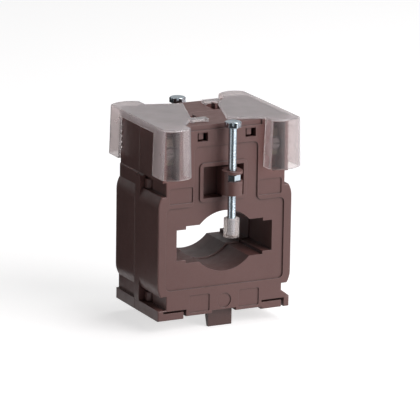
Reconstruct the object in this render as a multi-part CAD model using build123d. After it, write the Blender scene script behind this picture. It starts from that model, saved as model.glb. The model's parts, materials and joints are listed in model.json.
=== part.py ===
from build123d import *
from math import radians, tan
import os

# Window current transformer for one flat busbar, with clear terminal covers, busbar clamp screws and a
# mounting clip under its feet. All sizes are in millimetres.
#
# X runs across the busbar window, Y through it from the front (-Y) to the rear, and Z is up. The pieces are
# drawn with z = 0 at the soles of the feet and y = 0 at mid-depth of the housing. The two shells join at
# joint_y. At the end all is lifted by rail_hook_drop, so that the written part stands on the clip's hooks.

# Housing
body_width = 70.0
body_depth = 46.2
body_height = 92.7
wall = 1.8
edge_round = 0.6
seam_chamfer = 0.3
joint_y = 2.4

half_width = body_width / 2
front_y = -body_depth / 2
far = 2 * body_width
overlap = 0.1

# Bulge round the core, rounded at its corners and cut flat above and below
bulge_height = 48.5
bulge_straight = 36.6
bulge_radius = 11.0

# Busbar window
window_z = 35.84
window_half_width = half_width - 10.0
window_half_height = 7.4
step_half_width = window_half_width - 4.8
step_half_height = 8.95
arc_half_chord = 13.06
arc_top = 14.7
lip_depth = 1.6
lip_height = 0.5

bulge_top = window_z + bulge_height / 2
bulge_bottom = window_z - bulge_height / 2

# Feet
foot_half_width = half_width - 0.4
foot_edge_height = 5.2
foot_top_height = 8.3
foot_web_depth = 3.0
foot_neck_half_width = half_width - 4.6
foot_pad_inner = 19.8
middle_clearance = 1.05
slit_z = 4.0
slit_height = 1.0
slit_leg = 1.5
slit_outer = half_width - 3.2
slit_depth = 12.0

# Sides: necks, terminal block and the latches between the shells
neck_half_width = half_width - 1.7
block_half_width = half_width - 2.1
pocket_floor_half_width = half_width - 3.9
pocket_top = 66.6
ledge_height = 0.7
rim_depth = 5.2
latch_width = 4.4
lower_latch_width = 4.2
latch_lift = 0.3
latch_thickness = 1.5
latch_barb = 1.6
latch_barb_length = 2.8
latch_ramp = 1.2
latch_clearance = 0.15
latch_end_room = 1.5
block_notches = 7
block_notch_pitch = 2.65
block_notch_radius = 0.75
block_notch_length = 3.0

# Sunken faces on the front and the rear
panel_depth = 0.7
panel_half_width = half_width - 4.1
panel_bottom = 14.3
panel_shoulder = 54.0
panel_neck_half_width = half_width - 18.4
panel_top = body_height - 10.2
panel_round = 2.5
plate_depth = 0.5
terminal_plate = (half_width - 17.8, half_width - 5.7, 56.0, 63.6)
base_plate = (7.7, 18.3, 2.6, 11.0)
base_disc_radius = 3.6
base_disc_z = 6.8
plate_round = 0.8
top_strip_height = 2.4
top_strip_half_width = half_width - 16.4
top_strip_inset = 0.8
catch_window_x = 12.5
catch_window_z = body_height - 5.7
catch_window_width = 5.4
catch_window_height = 4.2
catch_left_gap = 1.0
catch_right_gap = 2.0
catch_lower_gap = 0.9
catch_tongue_recess = 1.0

# Recess and holder for the busbar clamp screw
recess_x = -1.3
recess_half_width = 10.5
recess_bottom = 57.4
recess_top = 72.5
recess_depth = 6.0
recess_wall = 1.0
recess_frame = 1.8
recess_frame_round = 2.0
holder_half_width = 4.9
holder_bottom = 60.0
holder_top = 71.5
holder_neck_left = 2.0
holder_gap = 0.1
screw_stand_off = 6.15
nut_floor = 66.6

# Clamp screw, M4 with a hexagon head
shank_radius = 2.0
thread_clearance = 0.05
hole_clearance = 0.3
head_flats = 7.0
head_height = 2.9
head_bevel_slope = 30
head_turn = 33
nut_turn = 22.6
head_seat_z = body_height - 0.7
screw_tip_z = 40.6
rear_screw_drop = 0.85
nut_height = 3.2
nut_slot_gap = 0.3
cap_radius = 3.65
cap_bottom = 39.5
cap_top = 48.4
cap_ribs = 12
cap_rib_depth = 0.35
cap_groove_width = 0.8

# Terminals, with M3 screws
terminal_x = half_width - 7.4
terminal_z = body_height - 13.2
channel_half_width = 3.3
channel_bottom = body_height - 25.5
channel_top = body_height - 1.7
channel_depth = 7.5
strap_thickness = 1.5
strap_half_width = 3.0
strap_bottom = body_height - 19.2
strap_top = body_height - 6.1
strap_gap = 0.1
washer_size = 6.0
washer_thickness = 1.0
terminal_shank_radius = 1.5
terminal_head_radius = 2.8
terminal_head_height = 2.0
terminal_head_round = 0.6
terminal_screw_length = 7.5
terminal_slot_width = 0.8
terminal_slot_depth = 1.0
screw_end_room = 0.4

# Core, winding and leads
winding_half_depth = 15.8
winding_thickness = 1.3
winding_gap = 0.3
winding_break = 5.0
rib_thickness = 1.5
rib_spacing = 15.0
lead_radius = 1.1
lead_shaft_half = 2.2
chamber_half_width = half_width - 17.0
base_core_half_width = half_width - 10.0
base_core_bottom = 6.2

# Clear terminal covers
cover_wall = 1.2
cover_plate = 1.0
cover_seat_gap = 0.1
cover_inner_x = half_width - 15.6
cover_rear_inner_x = half_width - 14.0
cover_outer_x = half_width + 1.2
cover_side_start = 4.8
cover_bulge = 9.5
cover_inner_reach = 5.9
cover_arc_start = 5.5
cover_draft = 0.7
cover_skirt_bottom = body_height - 22.8
cover_lip_bottom = body_height - 2.5
cover_face_gap = 0.15
cover_edge_round = 0.8
lobe_tip = (2.9, 6.0)
lobe_heel = (12.8, 34.8)
lobe_shoulder = (11.5, 3.2)

# Sealing eyelet on a cover, and the pit with a drilled rib beside it
eyelet_outer_x = 15.5
eyelet_inner_x = 7.0
eyelet_y = 15.65
eyelet_width = 4.5
eyelet_rise = 0.5
eyelet_wall = 1.0
seal_pit_x = (6.5, 13.0)
seal_pit_y = (3.9, 14.9)
seal_pit_depth = 3.0
pit_wall = 1.2
seal_rib_x = 9.7
seal_rib_y = 9.4
seal_rib_thickness = 1.2
seal_rib_length = 4.0
seal_rib_rise = 1.6
seal_hole_radius = 0.6
seal_hole_drop = 1.2

# Mounting clip
rail_width = 35.0
rail_lip = 1.0
rail_gap = 0.1
rail_hook_drop = 6.6
hook_thickness = 1.3
hook_nose = 2.0
hook_flat = 1.7
hook_nose_thickness = 1.0
clip_half_width = 6.2
clip_plate = 2.2
clip_seat_gap = 0.1
clip_groove_depth = 1.5


def block(x0, x1, y0, y1, z0, z1):
    """A box given by its limits."""
    size = Box(x1 - x0, y1 - y0, z1 - z0)
    return Pos((x0 + x1) / 2, (y0 + y1) / 2, (z0 + z1) / 2) * size


def slab(sketch, y0, y1):
    """A sketch drawn in X and Z, made solid from y0 to y1."""
    return Pos(0, y1, 0) * extrude(Plane.XZ * sketch, amount=y1 - y0)


def rect(x0, x1, z0, z1, radius=0.0):
    """A rectangle in X and Z, with rounded corners if asked."""
    if radius > 0:
        shape = RectangleRounded(x1 - x0, z1 - z0, radius)
    else:
        shape = Rectangle(x1 - x0, z1 - z0)
    return Pos((x0 + x1) / 2, (z0 + z1) / 2) * shape


def both_sides(sketch):
    """A sketch and its mirror image in the YZ plane."""
    return sketch + mirror(sketch, Plane.YZ)


def turned(shape):
    """The same piece at the other end, turned half round about Z."""
    return Rot(0, 0, 180) * shape


def hexagon(turn):
    """The outline of a clamp screw's head or nut, turned about its axis."""
    return Rot(0, 0, turn) * RegularPolygon(head_flats / 2, 6, major_radius=False)


def window_sketch(grow=0.0):
    """The busbar window: a wide slot, a stepped middle and an arc above and below."""
    a = window_half_width + grow
    h = window_half_height + grow
    b = step_half_width + grow
    s = step_half_height + grow
    c = arc_half_chord + grow
    t = arc_top + grow
    slot = Rectangle(2 * a, 2 * h)
    step = Rectangle(2 * b, 2 * s)
    upper_line = ThreePointArc((-c, s), (0, t), (c, s)) + Line((c, s), (c, 0))
    upper_line += Line((c, 0), (-c, 0)) + Line((-c, 0), (-c, s))
    upper = make_face(upper_line)
    return Pos(0, window_z) * (slot + step + upper + mirror(upper, Plane.XZ))


def bulge_sketch(inset=0.0):
    """The rounded swelling round the core, seen from the front."""
    rounded = RectangleRounded(body_width - 2 * inset,
                               bulge_straight + 2 * (bulge_radius - inset), bulge_radius - inset)
    return Pos(0, window_z) * (rounded & Rectangle(body_width, bulge_height - 2 * inset))


def foot_sketch():
    """Both feet, seen from the front."""
    return rect(-foot_half_width, foot_half_width, 0, foot_edge_height)


def foot_web_sketch():
    """The sloping web above the foot on the right."""
    points = [
        (foot_neck_half_width, foot_edge_height),
        (foot_half_width, foot_edge_height),
        (foot_neck_half_width, foot_top_height),
    ]
    return make_face(Polyline(*points, close=True))


def housing_sketch():
    """The outline of the housing, seen from the front."""
    points = [
        (0, foot_edge_height),
        (neck_half_width, foot_edge_height),
        (neck_half_width, pocket_top - ledge_height),
        (block_half_width, pocket_top),
        (block_half_width, body_height),
        (0, body_height),
    ]
    outline = bulge_sketch() + foot_sketch()
    outline += both_sides(make_face(Polyline(*points, close=True)))
    return outline - rect(-foot_pad_inner, foot_pad_inner, -1, middle_clearance)


def rim_sketch():
    """The outline of the rim along the joint, which belongs to the front shell."""
    return rect(-half_width, half_width, foot_edge_height, pocket_top - ledge_height)


def side_pockets():
    """The latch pockets of the front shell, above and below its bulge, open to the front."""
    end = joint_y - rim_depth
    upper = rect(pocket_floor_half_width, half_width, window_z, pocket_top) - bulge_sketch()
    lower = rect(foot_neck_half_width, half_width, foot_edge_height, window_z) - bulge_sketch()
    open_pockets = both_sides(upper) + mirror(lower, Plane.YZ) + (lower - foot_web_sketch())
    return slab(open_pockets, front_y - 1, end) + slab(lower, front_y + foot_web_depth, end)


def latch_places():
    """Floor half-width, middle height and width of each side latch."""
    upper = bulge_top + latch_lift + latch_width / 2
    lower = foot_edge_height + latch_lift + lower_latch_width / 2
    return [
        (pocket_floor_half_width, upper, latch_width),
        (foot_neck_half_width, lower, lower_latch_width),
    ]


def latch_start_y():
    """Where the barbs of the latches bear on the rim."""
    return joint_y - rim_depth - latch_clearance


def latch_tip_y():
    """The free end of the latches."""
    return latch_start_y() - latch_barb_length - latch_ramp


def latch_slots():
    """Cuts through the side walls of the front shell, and under its rim, that the latches enter."""
    cuts = []
    for floor, z, width in latch_places():
        half = width / 2 + latch_clearance
        low = floor - latch_thickness - wall
        shape = block(low, floor + overlap, latch_tip_y() - latch_end_room, far, z - half, z + half)
        cuts += [shape, mirror(shape, Plane.YZ)]
    return cuts


def latch_arms():
    """Barbed arms on the rear shell that snap behind the rim of the front shell."""
    arms = []
    start = latch_start_y()
    tip = latch_tip_y()
    for floor, z, width in latch_places():
        top = floor - latch_clearance
        low = top - latch_thickness
        barb = top + latch_barb
        points = [
            (low, joint_y + wall),
            (low, tip),
            (top, tip),
            (barb, tip + latch_ramp),
            (barb, start),
            (top, start),
            (top, joint_y + wall),
        ]
        profile = make_face(Polyline(*points, close=True))
        arm = Pos(0, 0, z - width / 2) * extrude(profile, amount=width)
        arms += [arm, mirror(arm, Plane.YZ)]
    return arms


def ring_chamber_sketch():
    """The space between the bulge and the tunnel where the wound core lies."""
    return bulge_sketch(wall) - window_sketch(wall)


def sunken_faces():
    """The sunken panel, which leaves a frame round the recess, and the blank sunken plates."""
    wide = rect(-panel_half_width, panel_half_width, panel_bottom, panel_shoulder)
    tall = rect(-panel_neck_half_width, panel_neck_half_width, panel_bottom, panel_top)
    panel = fillet((wide + tall).vertices(), panel_round)
    grown = recess_half_width + recess_frame
    frame = rect(recess_x - grown, recess_x + grown, recess_bottom - recess_frame,
                 recess_top + recess_frame, recess_frame_round)
    x0, x1, z0, z1 = terminal_plate
    plates = rect(x0, x1, z0, z1, plate_round)
    x0, x1, z0, z1 = base_plate
    plates += rect(x0, x1, z0, z1, plate_round)
    plates = both_sides(plates) + Pos(0, base_disc_z) * Circle(base_disc_radius)
    return [slab(panel - frame, front_y - 1, front_y + panel_depth),
            slab(plates, front_y - 1, front_y + plate_depth)]


def foot_slits():
    """The L-shaped slits in the front of both feet, for a pushed-in mounting bracket."""
    cuts = []
    for x0, x1 in ((-slit_outer, -foot_pad_inner), (foot_pad_inner, slit_outer)):
        flat = rect(x0, x1, slit_z - slit_height / 2, slit_z + slit_height / 2)
        leg = rect(x1 - slit_leg, x1, -1, slit_z)
        cuts.append(slab(flat + leg, front_y - 1, front_y + slit_depth))
    return cuts


def terminal_channels():
    """The upright channel in front of each terminal and the strap's way through its back wall."""
    low = terminal_x - channel_half_width
    high = terminal_x + channel_half_width
    back = front_y + channel_depth
    channel = block(low, high, front_y - 1, back, channel_bottom, channel_top)
    half = strap_half_width + strap_gap
    way = block(terminal_x - half, terminal_x + half, back - overlap, far,
                strap_top - strap_thickness - strap_gap, strap_top + strap_gap)
    room = terminal_shank_radius + screw_end_room
    tip = Pos(terminal_x, back, terminal_z) * Rot(90, 0, 0) * Cylinder(room, 2 * terminal_screw_length)
    cuts = channel + way + tip
    return [cuts, mirror(cuts, Plane.YZ)]


def lead_shafts():
    """Upright ways for the leads between the winding and the straps, open to the joint."""
    half = lead_shaft_half
    top = strap_top - strap_thickness
    shaft = block(terminal_x - half, terminal_x + half, -half, far, window_z, top)
    shaft -= slab(bulge_sketch(wall), -half - 1, far)
    return [shaft, mirror(shaft, Plane.YZ)]


def front_inner_y():
    """The inner face of the front wall."""
    return front_y + panel_depth + wall


def cored_spaces():
    """Hollows in the base and behind the terminals, which keep the walls of a shell even."""
    base = block(-base_core_half_width, base_core_half_width, front_inner_y(), far,
                 base_core_bottom, bulge_bottom)
    side = block(chamber_half_width + wall, pocket_floor_half_width - wall,
                 front_y + channel_depth + wall, far, bulge_top, body_height - wall)
    return [base, side, mirror(side, Plane.YZ)]


def core_ribs():
    """Upright ribs between the front wall and the winding, which hold the core in place."""
    ribs = Sketch()
    for side in (-1, 1):
        for place in (0, rib_spacing):
            x = side * (half_width - wall - place)
            ribs += rect(x - rib_thickness / 2, x + rib_thickness / 2, bulge_bottom, bulge_top)
    ribs = ribs & ring_chamber_sketch()
    return slab(ribs, front_inner_y() - overlap, -winding_half_depth - winding_gap)


def block_notches_cut():
    """Grip notches down the two upright corners of the terminal blocks."""
    notch = Rot(90, 0, 0) * Cylinder(block_notch_radius, 2 * block_notch_length)
    cut = Part()
    for index in range(block_notches):
        z = channel_top - (index + 0.5) * block_notch_pitch
        cut += Pos(block_half_width, front_y, z) * notch
    return cut + mirror(cut, Plane.YZ)


def seal_pit():
    """The walls, the hollow and the drilled rib of the sealing pit in the top of a shell."""
    x0, x1 = (-value for value in reversed(seal_pit_x))
    y0, y1 = (-value for value in reversed(seal_pit_y))
    floor = body_height - seal_pit_depth
    walls = block(x0 - pit_wall, x1 + pit_wall, y0 - pit_wall, y1 + pit_wall,
                  floor - pit_wall, body_height)
    hollow = block(x0, x1, y0, y1, floor, body_height + 1)
    thick = seal_rib_thickness / 2
    long = seal_rib_length / 2
    rib_top = body_height + seal_rib_rise
    rib = block(-seal_rib_x - thick, -seal_rib_x + thick, -seal_rib_y - long, -seal_rib_y + long,
                floor, rib_top)
    hole = Rot(0, 90, 0) * Cylinder(seal_hole_radius, far)
    rib -= Pos(-seal_rib_x, -seal_rib_y, rib_top - seal_hole_drop) * hole
    return walls, hollow, rib


def catch_windows():
    """The catch windows above the panel, and the tongue that stands back in each."""
    cuts = []
    tongues = []
    half_w = catch_window_width / 2
    half_h = catch_window_height / 2
    for x in (-catch_window_x, catch_window_x):
        window = rect(x - half_w, x + half_w, catch_window_z - half_h, catch_window_z + half_h)
        cuts.append(slab(window, front_y - 1, front_inner_y() + overlap))
        tongue = rect(x - half_w + catch_left_gap, x + half_w - catch_right_gap,
                      catch_window_z - half_h + catch_lower_gap, catch_window_z + half_h)
        tongues.append(slab(tongue, front_y + catch_tongue_recess, front_inner_y()))
    return cuts, tongues


def shell_body(outer):
    """The features that both shells share, cut into and added to a plain half-body."""
    front_edges = outer.faces().sort_by(Axis.Y)[0].edges()
    outer = fillet(front_edges, edge_round)
    seam_edges = outer.faces().sort_by(Axis.Y)[-1].edges()
    outer = chamfer(seam_edges, seam_chamfer)
    outer -= block_notches_cut()
    shell = outer - slab(ring_chamber_sketch(), front_inner_y(), far)
    upper = rect(-chamber_half_width, chamber_half_width, bulge_top, body_height - wall)
    shell -= slab(upper, front_inner_y(), far)
    for space in cored_spaces():
        shell -= space
    box_half = recess_half_width + recess_wall
    recess_box = rect(recess_x - box_half, recess_x + box_half,
                      recess_bottom - recess_wall, recess_top + recess_wall)
    recess_box = recess_box - window_sketch(wall)
    shell += slab(recess_box, front_y + panel_depth, front_y + recess_depth + recess_wall)
    shell += core_ribs()
    for cut in sunken_faces():
        shell -= cut
    recess = rect(recess_x - recess_half_width, recess_x + recess_half_width,
                  recess_bottom, recess_top)
    shell -= slab(recess, front_y - 1, front_y + recess_depth)
    strip = rect(-top_strip_half_width, top_strip_half_width,
                 body_height - top_strip_height, far)
    shell -= slab(strip, front_y - 1, front_y + top_strip_inset)
    windows, tongues = catch_windows()
    for cut in windows:
        shell -= cut
    for tongue in tongues:
        shell += tongue
    shell -= slab(window_sketch(), front_y - 1, far)
    for cut in foot_slits() + terminal_channels() + lead_shafts():
        shell -= cut
    pit_walls, pit_hollow, pit_rib = seal_pit()
    shell = shell + pit_walls - pit_hollow + pit_rib
    groove = block(-clip_half_width - clip_seat_gap, clip_half_width + clip_seat_gap,
                   -far, far, -1, middle_clearance + clip_groove_depth)
    return shell - groove


def tunnel_lip():
    """The low lip where the two halves of the tunnel meet."""
    ring = window_sketch() - window_sketch(-lip_height)
    return slab(ring, joint_y - lip_depth, joint_y)


def front_shell():
    outer = slab(housing_sketch(), front_y, joint_y)
    outer += slab(rim_sketch(), joint_y - rim_depth, joint_y)
    shell = shell_body(outer - side_pockets())
    for cut in latch_slots():
        shell -= cut
    return shell + tunnel_lip()


def rear_shell():
    shell = turned(shell_body(slab(housing_sketch(), front_y, -joint_y)))
    for arm in latch_arms():
        shell += arm
    return shell


def ring(outer_inset, inner_grow, half_depth):
    """A closed ring round the window, set in from the bulge and out from the window."""
    return slab(bulge_sketch(outer_inset) - window_sketch(inner_grow), -half_depth, half_depth)


def core():
    inset = wall + winding_gap + winding_thickness
    return ring(inset, inset, winding_half_depth - winding_thickness)


def winding():
    inset = wall + winding_gap
    wound = ring(inset, inset, winding_half_depth) - core()
    gap = block(-winding_break / 2, winding_break / 2, -far, far, bulge_bottom, window_z)
    return wound - (gap - core())


def lead():
    """One upright lead from the winding to the strap on the right side."""
    low = bulge_top - wall - winding_gap
    high = strap_top - strap_thickness
    tube = Cylinder(lead_radius, high - low, align=(Align.CENTER, Align.CENTER, Align.MIN))
    return Pos(terminal_x, 0, low) * tube


def strap():
    """The bent brass strap that joins the front and rear terminals of the right side."""
    outer_y = -front_y - channel_depth + strap_thickness
    profile = block(0, 2 * strap_half_width, -outer_y, outer_y, strap_bottom, strap_top)
    inner_y = outer_y - strap_thickness
    profile -= block(-1, far, -inner_y, inner_y, -far, strap_top - strap_thickness)
    bends = profile.edges().filter_by(Axis.X).group_by(Axis.Z)[-1]
    profile = fillet(bends, strap_thickness)
    piece = Pos(terminal_x - strap_half_width, 0, 0) * profile
    bore = Rot(90, 0, 0) * Cylinder(terminal_shank_radius + thread_clearance, 2 * far)
    return piece - Pos(terminal_x, 0, terminal_z) * bore


def terminal_washer():
    """The square pressure washer of the right front terminal."""
    seat = front_y + channel_depth - strap_thickness
    half = washer_size / 2
    plate = block(terminal_x - half, terminal_x + half, seat - washer_thickness, seat,
                  terminal_z - half, terminal_z + half)
    bore = Rot(90, 0, 0) * Cylinder(terminal_shank_radius + thread_clearance, far)
    return plate - Pos(terminal_x, 0, terminal_z) * bore


def terminal_screw():
    """The slotted pan-head screw of the right front terminal."""
    seat = front_y + channel_depth - strap_thickness - washer_thickness
    up = Rot(90, 0, 0)
    align = (Align.CENTER, Align.CENTER, Align.MIN)
    head = Cylinder(terminal_head_radius, terminal_head_height, align=align)
    head = fillet(head.edges().filter_by(GeomType.CIRCLE).sort_by(Axis.Z)[-1], terminal_head_round)
    slot = Pos(0, 0, terminal_head_height) * Box(far, terminal_slot_width, 2 * terminal_slot_depth)
    head -= slot
    shank = Rot(180, 0, 0) * Cylinder(terminal_shank_radius, terminal_screw_length, align=align)
    return Pos(terminal_x, seat, terminal_z) * (up * (head + shank))


def skirt_sketch(inner_x, inset):
    """The plan of the cover's front skirt, from its bulge back to the middle of the housing."""
    start = (cover_outer_x - inset, front_y - cover_arc_start)
    apex = ((inner_x + cover_outer_x) / 2, front_y - cover_bulge + inset)
    end = (inner_x + inset, front_y - cover_inner_reach)
    line = Line((start[0], 0), start) + ThreePointArc(start, apex, end)
    line += Line(end, (end[0], 0)) + Line((end[0], 0), (start[0], 0))
    return make_face(line)


def skirt_solid(inner_x, inset, top):
    """The skirt's plan made solid, drawn in by its draft towards the top."""
    low = Pos(0, 0, cover_skirt_bottom) * skirt_sketch(inner_x, inset)
    high = Pos(0, 0, top) * skirt_sketch(inner_x, inset + cover_draft)
    return loft([low, high], ruled=True)


def cover_lobe():
    """The slanting inner part of the cover's top plate."""
    side = cover_rear_inner_x + cover_draft + overlap
    points = [
        (side, front_y),
        (lobe_shoulder[0], front_y + lobe_shoulder[1]),
        (lobe_tip[0], front_y + lobe_tip[1]),
        (lobe_heel[0], front_y + lobe_heel[1]),
        (side, -front_y),
    ]
    return make_face(Polyline(*points, close=True))


def cover_skirt(inner_x):
    """The front skirt of the right cover, open at the side between its two ends."""
    top = body_height + cover_seat_gap
    skirt = skirt_solid(inner_x, 0, top) - skirt_solid(inner_x, cover_wall, top)
    skirt -= block(0, far, front_y + cover_side_start, far, -far, cover_lip_bottom)
    middle = (inner_x + cover_outer_x) / 2
    return skirt - block(0, middle, front_y - cover_face_gap, far, -far, top)


def eyelet():
    """The low bridge of the right cover that a sealing wire passes under."""
    half = eyelet_width / 2
    top = body_height + cover_seat_gap + cover_plate + eyelet_rise
    bridge = block(eyelet_inner_x, eyelet_outer_x, eyelet_y - half, eyelet_y + half, body_height, top)
    return bridge - block(eyelet_inner_x + eyelet_wall, eyelet_outer_x - eyelet_wall,
                          -far, far, 0, top - eyelet_wall)


def cover():
    """The clear cover over the right side's two terminals."""
    front_plan = skirt_sketch(cover_inner_x, cover_draft)
    rear_plan = mirror(skirt_sketch(cover_rear_inner_x, cover_draft), Plane.XZ)
    plate = Pos(0, 0, body_height + cover_seat_gap) * extrude(
        front_plan + rear_plan + cover_lobe(), amount=cover_plate)
    plate = fillet(plate.faces().sort_by(Axis.Z)[-1].edges(), cover_edge_round)
    return plate + cover_skirt(cover_inner_x) + mirror(cover_skirt(cover_rear_inner_x), Plane.XZ) \
        + eyelet()


def screw_axis_y():
    return front_y - screw_stand_off


def holder():
    """The moulded nut holder of the front clamp screw, plugged into the recess."""
    y = screw_axis_y()
    back = front_y + recess_depth - holder_gap
    body = Pos(0, y, holder_bottom) * Cylinder(holder_half_width, holder_top - holder_bottom,
                                               align=(Align.CENTER, Align.CENTER, Align.MIN))
    body += block(-holder_neck_left, holder_half_width, y, back, holder_bottom, holder_top)
    body += block(-holder_neck_left, holder_half_width, front_y, back, recess_bottom, holder_bottom)
    slot_top = nut_floor + nut_height + nut_slot_gap
    slot_back = y + head_flats / 3 ** 0.5 + nut_slot_gap
    half = head_flats / 2 + nut_slot_gap
    slot = block(-far, far, -far, slot_back, nut_floor, slot_top)
    slot &= block(-half, far, -far, far, 0, far)
    body -= slot
    bore = Cylinder(shank_radius + hole_clearance, far)
    return body - Pos(0, y, 0) * Pos(0, 0, holder_bottom) * bore


def clamp_nut():
    """The M4 nut in the front holder."""
    body = extrude(hexagon(nut_turn), amount=nut_height)
    body -= Cylinder(shank_radius + thread_clearance, far)
    return Pos(0, screw_axis_y(), nut_floor) * body


def clamp_screw():
    """The M4 hexagon-head screw at the front, without its thread."""
    align = (Align.CENTER, Align.CENTER, Align.MIN)
    length = head_seat_z - screw_tip_z
    shank = Pos(0, 0, screw_tip_z) * Cylinder(shank_radius, length, align=align)
    head = extrude(hexagon(head_turn), amount=head_height)
    spread = head_height / tan(radians(head_bevel_slope))
    bevel = Cone(head_flats / 2 + spread, head_flats / 2, head_height, align=align)
    head = head & bevel
    return Pos(0, screw_axis_y(), 0) * (shank + Pos(0, 0, head_seat_z) * head)


def clamp_cap():
    """The ribbed insulating cap on the end of the front clamp screw."""
    align = (Align.CENTER, Align.CENTER, Align.MIN)
    cap = Cylinder(cap_radius, cap_top - cap_bottom, align=align)
    cap -= Pos(0, 0, screw_tip_z - cap_bottom) * Cylinder(
        shank_radius + thread_clearance, far, align=align)
    groove = Pos(cap_radius, 0, 0) * Box(2 * cap_rib_depth, cap_groove_width, far)
    for index in range(cap_ribs):
        cap -= Rot(0, 0, 360 * index / cap_ribs) * groove
    return Pos(0, screw_axis_y(), cap_bottom) * cap


def rail_clip():
    """The clip along the underside, with a hook at its front end and at its rear end."""
    top = middle_clearance + clip_groove_depth - clip_seat_gap
    plate_low = top - clip_plate
    inner = rail_width / 2 + rail_gap
    outer = inner + hook_thickness
    nose_top = -rail_lip - rail_gap
    points = [
        (0, top),
        (outer, top),
        (outer, -rail_hook_drop),
        (outer - hook_flat, -rail_hook_drop),
        (inner - hook_nose, nose_top - hook_nose_thickness),
        (inner - hook_nose, nose_top),
        (inner, nose_top),
        (inner, plate_low),
        (0, plate_low),
    ]
    profile = Plane.YZ * make_face(Polyline(*points, close=True))
    half = extrude(profile, amount=clip_half_width, both=True)
    return half + turned(half)


def pieces():
    """Every piece by name, in the drawing position."""
    made = {
        "front_shell": front_shell(),
        "rear_shell": rear_shell(),
        "core": core(),
        "secondary_winding": winding(),
        "rail_clip": rail_clip(),
    }
    ends = {"front": lambda shape: shape, "rear": turned}
    screw_drops = {"front": 0, "rear": rear_screw_drop}
    for end, place in ends.items():
        made[f"{end}_screw_holder"] = place(holder())
        made[f"{end}_clamp_nut"] = place(clamp_nut())
        drop = Pos(0, 0, -screw_drops[end])
        made[f"{end}_clamp_screw"] = drop * place(clamp_screw())
        made[f"{end}_screw_cap"] = drop * place(clamp_cap())
    made["right_lead"] = lead()
    made["left_lead"] = turned(lead())
    made["right_terminal_strap"] = strap()
    made["left_terminal_strap"] = turned(strap())
    made["right_terminal_cover"] = cover()
    made["left_terminal_cover"] = turned(cover())
    made["right_front_terminal_washer"] = terminal_washer()
    made["left_rear_terminal_washer"] = turned(terminal_washer())
    made["left_front_terminal_washer"] = mirror(terminal_washer(), Plane.YZ)
    made["right_rear_terminal_washer"] = mirror(terminal_washer(), Plane.XZ)
    made["right_front_terminal_screw"] = terminal_screw()
    made["left_rear_terminal_screw"] = turned(terminal_screw())
    made["left_front_terminal_screw"] = mirror(terminal_screw(), Plane.YZ)
    made["right_rear_terminal_screw"] = mirror(terminal_screw(), Plane.XZ)
    return made


os.makedirs("parts", exist_ok=True)
for name, shape in pieces().items():
    export_step(Pos(0, 0, rail_hook_drop) * shape, f"parts/{name}.step")
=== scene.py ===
import json
import math

import bmesh
import bpy
from mathutils import Matrix, Vector


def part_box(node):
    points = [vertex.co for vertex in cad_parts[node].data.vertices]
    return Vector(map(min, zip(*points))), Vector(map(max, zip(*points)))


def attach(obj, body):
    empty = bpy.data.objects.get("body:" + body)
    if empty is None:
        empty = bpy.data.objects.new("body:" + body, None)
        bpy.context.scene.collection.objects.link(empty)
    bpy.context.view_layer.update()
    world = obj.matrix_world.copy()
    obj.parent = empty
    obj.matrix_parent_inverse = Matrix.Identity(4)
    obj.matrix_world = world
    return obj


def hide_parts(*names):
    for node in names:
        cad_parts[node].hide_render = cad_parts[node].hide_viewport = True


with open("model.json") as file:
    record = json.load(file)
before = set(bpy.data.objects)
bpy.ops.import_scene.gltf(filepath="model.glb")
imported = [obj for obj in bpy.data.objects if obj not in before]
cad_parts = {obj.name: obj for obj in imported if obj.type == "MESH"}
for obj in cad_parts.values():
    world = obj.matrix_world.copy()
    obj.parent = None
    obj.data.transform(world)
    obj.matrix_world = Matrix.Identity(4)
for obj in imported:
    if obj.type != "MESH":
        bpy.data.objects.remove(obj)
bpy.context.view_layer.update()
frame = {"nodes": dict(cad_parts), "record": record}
nodes = frame["nodes"]
materials = {}

MM = 0.001

# Camera, fitted to the photograph
PHOTO_PIXELS = 420
FOCAL_PIXELS = 3862
SENSOR_WIDTH = 36.0
CAMERA_TARGET = Vector((-8.2, -23.1, 58.2)) * MM
CAMERA_DISTANCE = 1805 * MM
CAMERA_TURN = math.radians(26.8)
CAMERA_DROP = math.radians(14.8)
CAMERA_ROLL = math.radians(0.87)

# Hexagon heads and nuts in millimetres, with the bearing that one flat of each looks along
HEAD_FLATS = 7.0
HEAD_HEIGHT = 2.9
HEAD_TURN = math.radians(3)
NUT_TURN = math.radians(52.6)
CORNER_BEVEL = math.tan(math.radians(30))
HEAD_BEVEL_START = 0.12
NUT_BEVEL_START = 0.08
HEXAGON_STEPS = 72
SHARP_ANGLE = math.radians(28)

# Profile of a head. Its underside starts inside the shank, at a share of the thread's radius. The washer face
# and the dish go by share of half the flats, with height over the seat or depth under the top. The lower edge
# of the flats goes by inset and height over the seat.
UNDERSIDE_START = 0.9
WASHER_FACE = ((0.94, 0.0), (0.95, 0.15))
LOWER_EDGE = ((0.05, 0.16), (0.0, 0.24))
TOP_INSET = 0.02
HEAD_DISH = ((0.92, 0.0), (0.78, 0.03), (0.62, 0.28), (0.20, 0.34))
NUT_FACE_SHARE = 0.97
NUT_COUNTERSINK = 0.3

# Thread of the clamp screws, in millimetres
THREAD_PITCH = 0.7
THREAD_RADIUS = 2.0
THREAD_DEPTH = 0.22
THREAD_GROOVE_SHARE = 0.36
THREAD_CLEARANCE = 0.05
THREAD_STEPS = 11
THREAD_SIDES = 24
TIP_LENGTH = 0.5
TIP_DEPTH = 0.9 * THREAD_DEPTH
RUN_OUT_LENGTH = 0.8
SHANK_OVERLAP = 0.05

# Stage, in metres and degrees
FLOOR_HALF_SIDE = 6.0
FLOOR_PALENESS = 0.62
FLOOR_GLOW = 0.66
FLAG_NEAR = 0.075
FLAG_FAR = 2.5
FLAG_HEIGHT = 0.001
FLAG_STEPS = 6
FAINT_WORLD = 0.03
MIRRORED_WORLD = 0.50
SEEN_WORLD = 1.0
LAMP_AIM = (0, 0, 0.055)


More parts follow.
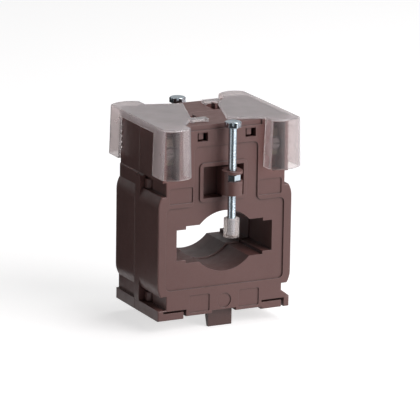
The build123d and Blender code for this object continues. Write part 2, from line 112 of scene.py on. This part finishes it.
class Net:
    """A node tree, with short ways to add and join its nodes."""

    def __init__(self, tree):
        self.tree = tree

    def add(self, kind, inputs=None, **settings):
        """A new node, with its settings made and its inputs set or joined."""
        node = self.tree.nodes.new(kind)
        for key, value in settings.items():
            setattr(node, key, value)
        for key, value in (inputs or {}).items():
            self.join(value, node.inputs[key])
        return node

    def join(self, value, socket):
        """Joins another node's output to a socket, or sets the socket to a plain value."""
        if isinstance(value, bpy.types.NodeSocket):
            self.tree.links.new(value, socket)
        else:
            socket.default_value = value

    def maths(self, operation, *values):
        """The result of one sum or comparison of sockets and plain values."""
        return self.add("ShaderNodeMath", dict(enumerate(values)), operation=operation).outputs[0]

    def mix(self, factor, first, second):
        """One shader, or another where the factor is 1."""
        return self.add("ShaderNodeMixShader", {0: factor, 1: first, 2: second}).outputs[0]

    def place(self):
        """Where a point lies on its piece."""
        return self.add("ShaderNodeTexCoord").outputs["Object"]

    def noise(self, scale, detail, roughness=0.5, stretch=None):
        """Cloudy noise between 0 and 1, drawn out along an axis whose stretch is small."""
        vector = self.place()
        if stretch:
            vector = self.add("ShaderNodeMapping", {"Vector": vector, "Scale": stretch}).outputs[0]
        node = self.add("ShaderNodeTexNoise", {"Vector": vector, "Scale": scale, "Detail": detail,
                                               "Roughness": roughness})
        return node.outputs["Fac"]

    def span(self, value, low, high, start=0.3, end=0.7):
        """A value between start and end, stretched to lie between low and high."""
        node = self.add("ShaderNodeMapRange", {"Value": value, "From Min": start, "From Max": end,
                                               "To Min": low, "To Max": high})
        return node.outputs["Result"]

    def tint(self, factor, first, second):
        """One colour, or another where the factor is 1."""
        node = self.add("ShaderNodeMix", {0: factor}, data_type="RGBA")
        self.join(first, node.inputs[6])
        self.join(second, node.inputs[7])
        return node.outputs[2]

    def bump(self, height, strength, distance, normal=None):
        """A normal roughened by a height, on top of another normal if one is given."""
        inputs = {"Height": height, "Strength": strength, "Distance": distance}
        if normal:
            inputs["Normal"] = normal
        return self.add("ShaderNodeBump", inputs).outputs["Normal"]


class Finish(Net):
    """The node tree of a new material, which materials keeps under its name."""

    def __init__(self, name):
        self.material = bpy.data.materials.new(name)
        materials[name] = self.material
        self.material.use_nodes = True
        super().__init__(self.material.node_tree)
        self.shader = self.tree.nodes["Principled BSDF"]
        self.surface = self.tree.nodes["Material Output"].inputs["Surface"]

    def set(self, **inputs):
        """Sets or joins inputs of the material's main shader."""
        for key, value in inputs.items():
            self.join(value, self.shader.inputs[key.replace("_", " ")])


def rgb(red, green, blue):
    """A colour without transparency."""
    return (red, green, blue, 1.0)


WHITE = rgb(1, 1, 1)


def edge_mask(net, radius, start, end):
    """The normal rounded over edges, and how far it leaves the true one: 0 on flats, 1 on edges."""
    rounded = net.add("ShaderNodeBevel", {"Radius": radius}, samples=6).outputs["Normal"]
    true = net.add("ShaderNodeNewGeometry").outputs["Normal"]
    along = net.add("ShaderNodeVectorMath", {0: rounded, 1: true}, operation="DOT_PRODUCT")
    return rounded, net.span(along.outputs["Value"], 1.0, 0.0, start, end)


def crevice_mask(net, reach, start, end):
    """How far a point lies in a corner or groove: 0 in the open, 1 deep inside."""
    open_share = net.add("ShaderNodeAmbientOcclusion", {"Distance": reach}, samples=6).outputs["AO"]
    return net.span(open_share, 1.0, 0.0, start, end)


def moulded_plastic(name, first, second):
    """Satin brown moulded plastic with a fine grain, faint flow clouds, edges painted lighter as a painted
    highlight, and corners and grooves painted darker as painted shade.
    """
    net = Finish(name)
    clouds = net.span(net.noise(scale=45, detail=4), 0.0, 1.0)
    base = net.tint(clouds, first, second)
    specks = net.span(net.noise(scale=2600, detail=2), 0.0, 0.35, 0.55, 0.8)
    base = net.tint(specks, base, rgb(0.180, 0.112, 0.100))
    rounded, edges = edge_mask(net, 0.25 * MM, 0.80, 0.995)
    # Painted highlight: edges, convex and concave, are painted a lighter brown where light would catch them.
    base = net.tint(edges, base, rgb(0.190, 0.120, 0.108))
    # Painted shade: corners, grooves and crevices are painted near black where shade falls in them.
    base = net.tint(crevice_mask(net, 1.4 * MM, 0.35, 0.85), base, rgb(0.045, 0.020, 0.017))
    waves = net.noise(scale=130, detail=2)
    normal = net.bump(waves, 0.10, 0.4 * MM, rounded)
    grain = net.noise(scale=1900, detail=3, roughness=0.6)
    normal = net.bump(grain, 0.22, 0.05 * MM, normal)
    roughness = net.span(net.noise(scale=300, detail=4), 0.40, 0.52)
    net.set(Base_Color=base, Roughness=roughness, Normal=normal, IOR=1.58)


def frosted(name, body, cloud, edge, haze, steep_haze, edge_haze, roughness):
    """Clear frosted plastic: it shows what lies behind softly, and turns milky on the slant. Its edges are
    painted lighter and milkier as a painted highlight.
    """
    net = Finish(name)
    rounded, edges = edge_mask(net, 0.35 * MM, 0.75, 0.99)
    drawn = net.noise(scale=1100, detail=2, stretch=(1, 1, 0.05))
    normal = net.bump(drawn, 0.25, 0.04 * MM, rounded)
    # Painted highlight: the edge colour lightens the rims of the clear pieces.
    net.set(Base_Color=net.tint(edges, body, edge), Roughness=roughness, Normal=normal,
            Transmission_Weight=1.0, IOR=1.46)
    slant = net.add("ShaderNodeLayerWeight", {"Blend": 0.5, "Normal": rounded}).outputs["Facing"]
    uneven = net.span(net.noise(scale=110, detail=3), -0.02, 0.02)
    milk = net.maths("ADD", net.span(slant, haze, steep_haze, 0.03, 0.60), uneven)
    # Painted highlight: the milky layer is stronger and lighter on the edges.
    milk = net.maths("MULTIPLY_ADD", edges, edge_haze, milk)
    milky = net.tint(edges, cloud, edge)
    cloudy = net.add("ShaderNodeBsdfDiffuse", {"Color": milky, "Normal": normal}).outputs[0]
    through = net.add("ShaderNodeBsdfTranslucent", {"Color": milky, "Normal": normal}).outputs[0]
    seen = net.mix(milk, net.shader.outputs[0], net.mix(0.5, cloudy, through))
    shade = net.add("ShaderNodeBsdfTransparent", {"Color": body}).outputs[0]
    shadow_ray = net.add("ShaderNodeLightPath").outputs["Is Shadow Ray"]
    net.join(net.mix(shadow_ray, seen, shade), net.surface)


def steel(name, first, second, low, high):
    """Zinc-plated steel with soft patches, fine drawn lines and edges painted near white as a painted
    highlight, its roughness between low and high.
    """
    net = Finish(name)
    patches = net.span(net.noise(scale=420, detail=4), 0.0, 1.0)
    base = net.tint(patches, first, second)
    rounded, edges = edge_mask(net, 0.12 * MM, 0.75, 0.99)
    # Painted highlight: edges are painted near white where they would catch the light.
    base = net.tint(edges, base, rgb(0.90, 0.92, 0.94))
    lines = net.noise(scale=900, detail=3, stretch=(1, 1, 0.12))
    normal = net.bump(lines, 0.10, 0.02 * MM, rounded)
    net.set(Base_Color=base, Roughness=net.span(lines, low, high), Normal=normal, Metallic=1.0)


def plated_brass():
    """The brass of the terminal straps, darkened as painted shade of its closed chamber, with clouds and a
    little unevenness.
    """
    net = Finish("plated_brass")
    clouds = net.span(net.noise(scale=300, detail=4), 0.0, 1.0)
    # Painted shade: the brass is kept dark for the shade of the terminal chamber.
    base = net.tint(clouds, rgb(0.25, 0.22, 0.18), rgb(0.34, 0.30, 0.25))
    normal = net.bump(net.noise(scale=1500, detail=3), 0.1, 0.03 * MM)
    roughness = net.span(net.noise(scale=700, detail=3), 0.32, 0.5)
    net.set(Base_Color=base, Roughness=roughness, Normal=normal, Metallic=1.0)


def strip_steel():
    """The wound strip of the core: fine turns seen edge on."""
    net = Finish("core_steel")
    turns = net.add("ShaderNodeTexWave", {"Vector": net.place(), "Scale": 900, "Distortion": 0.6},
                    wave_type="RINGS", rings_direction="Y").outputs["Fac"]
    base = net.tint(turns, rgb(0.16, 0.165, 0.18), rgb(0.36, 0.37, 0.39))
    net.set(Base_Color=base, Roughness=net.span(turns, 0.35, 0.55, 0, 1), Metallic=1.0,
            Normal=net.bump(turns, 0.3, 0.05 * MM))


def wound_copper():
    """The winding's enamelled wire, turn beside turn."""
    net = Finish("enamelled_copper")
    wire = net.add("ShaderNodeTexWave", {"Vector": net.place(), "Scale": 500, "Distortion": 0.3},
                   wave_type="BANDS", bands_direction="DIAGONAL").outputs["Fac"]
    base = net.tint(wire, rgb(0.20, 0.05, 0.02), rgb(0.62, 0.24, 0.10))
    net.set(Base_Color=base, Roughness=0.3, Coat_Weight=0.6, Metallic=0.7,
            Normal=net.bump(wire, 0.5, 0.1 * MM))


def sleeve():
    """The fibre sleeve of a lead."""
    net = Finish("lead_sleeve")
    weave = net.add("ShaderNodeTexWave", {"Vector": net.place(), "Scale": 700, "Distortion": 1.0},
                    bands_direction="DIAGONAL").outputs["Fac"]
    base = net.tint(weave, rgb(0.02, 0.02, 0.022), rgb(0.06, 0.06, 0.065))
    net.set(Base_Color=base, Roughness=0.7, Normal=net.bump(weave, 0.4, 0.05 * MM))


moulded_plastic("housing_plastic", rgb(0.114, 0.050, 0.045), rgb(0.130, 0.060, 0.054))
# Painted shade: a darker copy of the housing plastic stands for the shadow that the rail clip is set back in.
moulded_plastic("shaded_clip_plastic", rgb(0.056, 0.021, 0.018), rgb(0.066, 0.027, 0.023))
# The edge colours of the clear pieces are painted highlights on their rims.
frosted("clear_cover", body=rgb(0.86, 0.79, 0.78), cloud=rgb(0.70, 0.69, 0.71), edge=rgb(0.94, 0.91, 0.90),
        haze=0.05, steep_haze=0.33, edge_haze=0.30, roughness=0.14)
frosted("clear_cap", body=rgb(0.84, 0.77, 0.75), cloud=rgb(0.78, 0.74, 0.72), edge=rgb(0.98, 0.96, 0.94),
        haze=0.10, steep_haze=0.30, edge_haze=0.15, roughness=0.06)
steel("zinc_steel", rgb(0.46, 0.54, 0.60), rgb(0.57, 0.65, 0.71), 0.08, 0.16)
# Painted shade: a darker, rougher copy of the plated steel stands for the terminal screws and washers in the
# shade of their closed chamber.
steel("shaded_terminal_steel", rgb(0.13, 0.125, 0.125), rgb(0.19, 0.18, 0.18), 0.42, 0.60)
plated_brass()
strip_steel()
wound_copper()
sleeve()


def dress(obj, finish):
    """Gives a piece one of the materials, by its name, on every face."""
    obj.data.materials.clear()
    obj.data.materials.append(materials[finish])


for row in frame["record"]["subparts"]:
    piece = row["node"]
    look = row["material_slot"]
    if piece == "rail_clip":
        # Painted shade: the rail clip gets the darker copy of the housing plastic.
        look = "shaded_clip_plastic"
    elif piece.endswith(("terminal_screw", "terminal_washer")):
        # Painted shade: the terminal screws and washers get the darkened steel copy.
        look = "shaded_terminal_steel"
    dress(nodes[piece], look)


def new_piece(name, mesh_maker, slot, body, node):
    """A mesh object that stands for a CAD node, with its finish and the body that it moves with."""
    grid = bmesh.new()
    mesh_maker(grid)
    bmesh.ops.remove_doubles(grid, verts=grid.verts, dist=1e-6)
    bmesh.ops.recalc_face_normals(grid, faces=grid.faces)
    mesh = bpy.data.meshes.new(name)
    grid.to_mesh(mesh)
    grid.free()
    for face in mesh.polygons:
        face.use_smooth = True
    mesh.set_sharp_from_angle(angle=SHARP_ANGLE)
    obj = bpy.data.objects.new(name, mesh)
    bpy.context.scene.collection.objects.link(obj)
    dress(obj, slot)
    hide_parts(node)
    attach(obj, body)


def polar_grid(grid, centre, rows, count, closed_ends=True):
    """A surface through rows of points, each row a function of the angle that gives (radius, height)."""
    rings = []
    for row in rows:
        ring = []
        for step in range(count):
            angle = 2 * math.pi * step / count
            radius, height = row(angle)
            point = (centre[0] + radius * math.cos(angle), centre[1] + radius * math.sin(angle), height)
            ring.append(grid.verts.new(Vector(point) * MM))
        rings.append(ring)
    for lower, upper in zip(rings, rings[1:]):
        for step in range(count):
            after = (step + 1) % count
            grid.faces.new((lower[step], lower[after], upper[after], upper[step]))
    if closed_ends:
        grid.faces.new(rings[0])
        grid.faces.new(rings[-1])


def circle(radius, height):
    """A row at one distance from the axis."""
    return lambda angle: (radius, height)


def hexagon(turn, height, inset=0.0):
    """A row along the sides of a hexagon, one of whose flats looks along the turn."""
    third = math.pi / 3

    def point(angle):
        off_flat = (angle - turn + third / 2) % third - third / 2
        return HEAD_FLATS / 2 / math.cos(off_flat) - inset, height

    return point


def bevel(turn, face, inward, start):
    """A row where the cone that cuts a hexagon's corners leaves its sides, near one of its faces."""
    side = hexagon(turn, face)

    def point(angle):
        radius = side(angle)[0]
        return radius, face + inward * (start + (radius - HEAD_FLATS / 2) * CORNER_BEVEL)

    return point


def head_rows(seat):
    """Rows of a hexagon head: washer face, flats, bevelled top and a shallow dish."""
    half = HEAD_FLATS / 2
    top = seat + HEAD_HEIGHT
    rows = [circle(THREAD_RADIUS * UNDERSIDE_START, seat)]
    rows += [circle(half * share, seat + height) for share, height in WASHER_FACE]
    rows += [hexagon(HEAD_TURN, seat + height, inset) for inset, height in LOWER_EDGE]
    rows.append(bevel(HEAD_TURN, top, -1, HEAD_BEVEL_START))
    rows.append(circle(half - TOP_INSET, top - HEAD_BEVEL_START / 2))
    return rows + [circle(half * share, top - depth) for share, depth in HEAD_DISH]


def thread_rows(low, high):
    """Rows of a rolled thread between two heights, tapered at the tip and run out under the head."""
    count = int((high - low) / (THREAD_PITCH / THREAD_STEPS))

    def row(index):
        height = low + (high - low) * index / count

        def point(angle):
            turn = (height / THREAD_PITCH - angle / (2 * math.pi)) % 1.0
            crest = min(1.0, abs(turn - 0.5) * 2 / THREAD_GROOVE_SHARE)
            depth = THREAD_DEPTH * (1 - crest)
            if height - low < TIP_LENGTH:
                depth = max(depth, TIP_DEPTH * (1 - (height - low) / TIP_LENGTH))
            else:
                depth *= min(1.0, (high - height) / RUN_OUT_LENGTH)
            return THREAD_RADIUS - depth, height

        return point

    return [row(index) for index in range(count + 1)]


def place_of(node):
    """The axis of an upright node, its lowest level and its highest, in millimetres."""
    low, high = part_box(node)
    axis = ((low.x + high.x) / 2 / MM, (low.y + high.y) / 2 / MM)
    return axis, low.z / MM, high.z / MM


def clamp_screw(end):
    """The clamp screw at one end, threaded over its whole length under the hexagon head."""
    axis, tip, top = place_of(f"{end}_clamp_screw")
    seat = top - HEAD_HEIGHT

    def build(grid):
        polar_grid(grid, axis, head_rows(seat), HEXAGON_STEPS)
        polar_grid(grid, axis, thread_rows(tip, seat + SHANK_OVERLAP), THREAD_SIDES)

    new_piece(f"{end}_hexagon_screw", build, "zinc_steel", f"{end}_clamp", f"{end}_clamp_screw")


def clamp_nut(end):
    """The hexagon nut in one holder, bevelled on both faces and countersunk at both ends of its bore."""
    axis, bottom, top = place_of(f"{end}_clamp_nut")
    face = HEAD_FLATS / 2 * NUT_FACE_SHARE
    bore = THREAD_RADIUS + THREAD_CLEARANCE
    rows = [
        circle(bore, bottom + NUT_COUNTERSINK),
        circle(bore + NUT_COUNTERSINK, bottom),
        circle(face, bottom),
        bevel(NUT_TURN, bottom, 1, NUT_BEVEL_START),
        bevel(NUT_TURN, top, -1, NUT_BEVEL_START),
        circle(face, top),
        circle(bore + NUT_COUNTERSINK, top),
        circle(bore, top - NUT_COUNTERSINK),
        circle(bore, bottom + NUT_COUNTERSINK),
    ]

    def build(grid):
        polar_grid(grid, axis, rows, HEXAGON_STEPS, closed_ends=False)

    new_piece(f"{end}_hexagon_nut", build, "zinc_steel", "housing", f"{end}_clamp_nut")


for screw_end in ("front", "rear"):
    clamp_screw(screw_end)
    clamp_nut(screw_end)


def ray_masks(net):
    """Two masks: 1 for rays straight from the camera, also through clear pieces, and 1 for mirrored rays."""
    path = net.add("ShaderNodeLightPath").outputs
    bounces = net.maths("ADD", path["Diffuse Depth"], path["Glossy Depth"])
    unbounced = net.maths("LESS_THAN", bounces, 0.5)
    through = net.maths("MULTIPLY", path["Is Transmission Ray"], unbounced)
    return net.maths("MAXIMUM", path["Is Camera Ray"], through), path["Is Glossy Ray"]


def flat_mesh(name, points, material):
    """One flat face, as a piece of the stage."""
    mesh = bpy.data.meshes.new(name)
    mesh.from_pydata(points, [], [list(range(len(points)))])
    obj = bpy.data.objects.new(name, mesh)
    bpy.context.scene.collection.objects.link(obj)
    mesh.materials.append(material)
    return obj


def stage_floor():
    """A pale floor that keeps the object's soft shadow and reads white to the camera."""
    net = Finish("stage_floor")
    net.tree.nodes.remove(net.shader)
    straight, mirrored = ray_masks(net)
    pale = rgb(FLOOR_PALENESS, FLOOR_PALENESS, FLOOR_PALENESS)
    matt = net.add("ShaderNodeBsdfDiffuse", {"Color": pale}).outputs[0]
    glow = net.add("ShaderNodeEmission", {"Color": WHITE, "Strength": FLOOR_GLOW}).outputs[0]
    lit = net.add("ShaderNodeAddShader", {0: matt, 1: glow}).outputs[0]
    net.join(net.mix(net.maths("MAXIMUM", straight, mirrored), matt, lit), net.surface)
    half = FLOOR_HALF_SIDE
    flat_mesh("stage_floor", [(-half, -half, 0), (half, -half, 0), (half, half, 0), (-half, half, 0)],
              net.material)


def flag(name, start, end):
    """A black card low over the floor, that only reflections see, between two bearings in degrees."""
    net = Finish(name)
    net.set(Base_Color=rgb(0.01, 0.01, 0.01), Roughness=1.0)
    bearings = [math.radians(start + (end - start) * step / FLAG_STEPS) for step in range(FLAG_STEPS + 1)]
    rim = [(FLAG_NEAR * math.cos(a), FLAG_NEAR * math.sin(a), FLAG_HEIGHT) for a in bearings]
    rim += [(FLAG_FAR * math.cos(a), FLAG_FAR * math.sin(a), FLAG_HEIGHT) for a in reversed(bearings)]
    card = flat_mesh(name, rim, net.material)
    card.visible_camera = False
    card.visible_diffuse = False
    card.visible_transmission = False
    card.visible_shadow = False


def stage_world():
    """White to the camera and through the clear pieces, grey in reflections, and a faint light otherwise."""
    world = bpy.data.worlds.new("studio")
    bpy.context.scene.world = world
    world.use_nodes = True
    net = Net(world.node_tree)
    faint = net.tree.nodes["Background"]
    net.join(rgb(1.0, 0.95, 0.93), faint.inputs["Color"])
    net.join(FAINT_WORLD, faint.inputs["Strength"])
    straight, mirrored = ray_masks(net)
    shader = faint.outputs[0]
    for mask, strength in ((mirrored, MIRRORED_WORLD), (straight, SEEN_WORLD)):
        pale = net.add("ShaderNodeBackground", {"Color": WHITE, "Strength": strength})
        shader = net.mix(mask, shader, pale.outputs[0])
    net.join(shader, net.tree.nodes["World Output"].inputs["Surface"])


def lamp(name, place, size, power, colour=(1, 1, 1)):
    """A soft square lamp that looks at the middle of the object."""
    data = bpy.data.lights.new(name, "AREA")
    data.energy = power
    data.size = size
    data.color = colour
    obj = bpy.data.objects.new(name, data)
    bpy.context.scene.collection.objects.link(obj)
    obj.location = Vector(place)
    obj.rotation_mode = "QUATERNION"
    obj.rotation_quaternion = (Vector(LAMP_AIM) - Vector(place)).to_track_quat("-Z", "Y")


def stage_camera():
    """The photograph's camera."""
    turn, drop, roll = CAMERA_TURN, CAMERA_DROP, CAMERA_ROLL
    forward = Vector((math.sin(turn) * math.cos(drop), math.cos(turn) * math.cos(drop), -math.sin(drop)))
    level = forward.cross(Vector((0, 0, 1))).normalized()
    upright = level.cross(forward)
    right = level * math.cos(roll) + upright * math.sin(roll)
    up = upright * math.cos(roll) - level * math.sin(roll)
    data = bpy.data.cameras.new("camera")
    data.sensor_width = SENSOR_WIDTH
    data.lens = FOCAL_PIXELS / PHOTO_PIXELS * SENSOR_WIDTH
    data.clip_start = 0.05
    data.clip_end = 50.0
    camera = bpy.data.objects.new("camera", data)
    bpy.context.scene.collection.objects.link(camera)
    spot = CAMERA_TARGET - forward * CAMERA_DISTANCE
    camera.matrix_world = Matrix((
        (right.x, up.x, -forward.x, spot.x),
        (right.y, up.y, -forward.y, spot.y),
        (right.z, up.z, -forward.z, spot.z),
        (0, 0, 0, 1),
    ))
    bpy.context.scene.camera = camera


stage_floor()
flag("front_flag", -150, -93)
flag("side_flag", 90, 165)
stage_world()
lamp("key", (0.70, -1.10, 0.80), size=1.2, power=23, colour=(1.0, 0.97, 0.98))
lamp("top", (0.45, 0.1, 1.25), size=0.7, power=6)
stage_camera()
bpy.context.scene.view_settings.view_transform = "Standard"
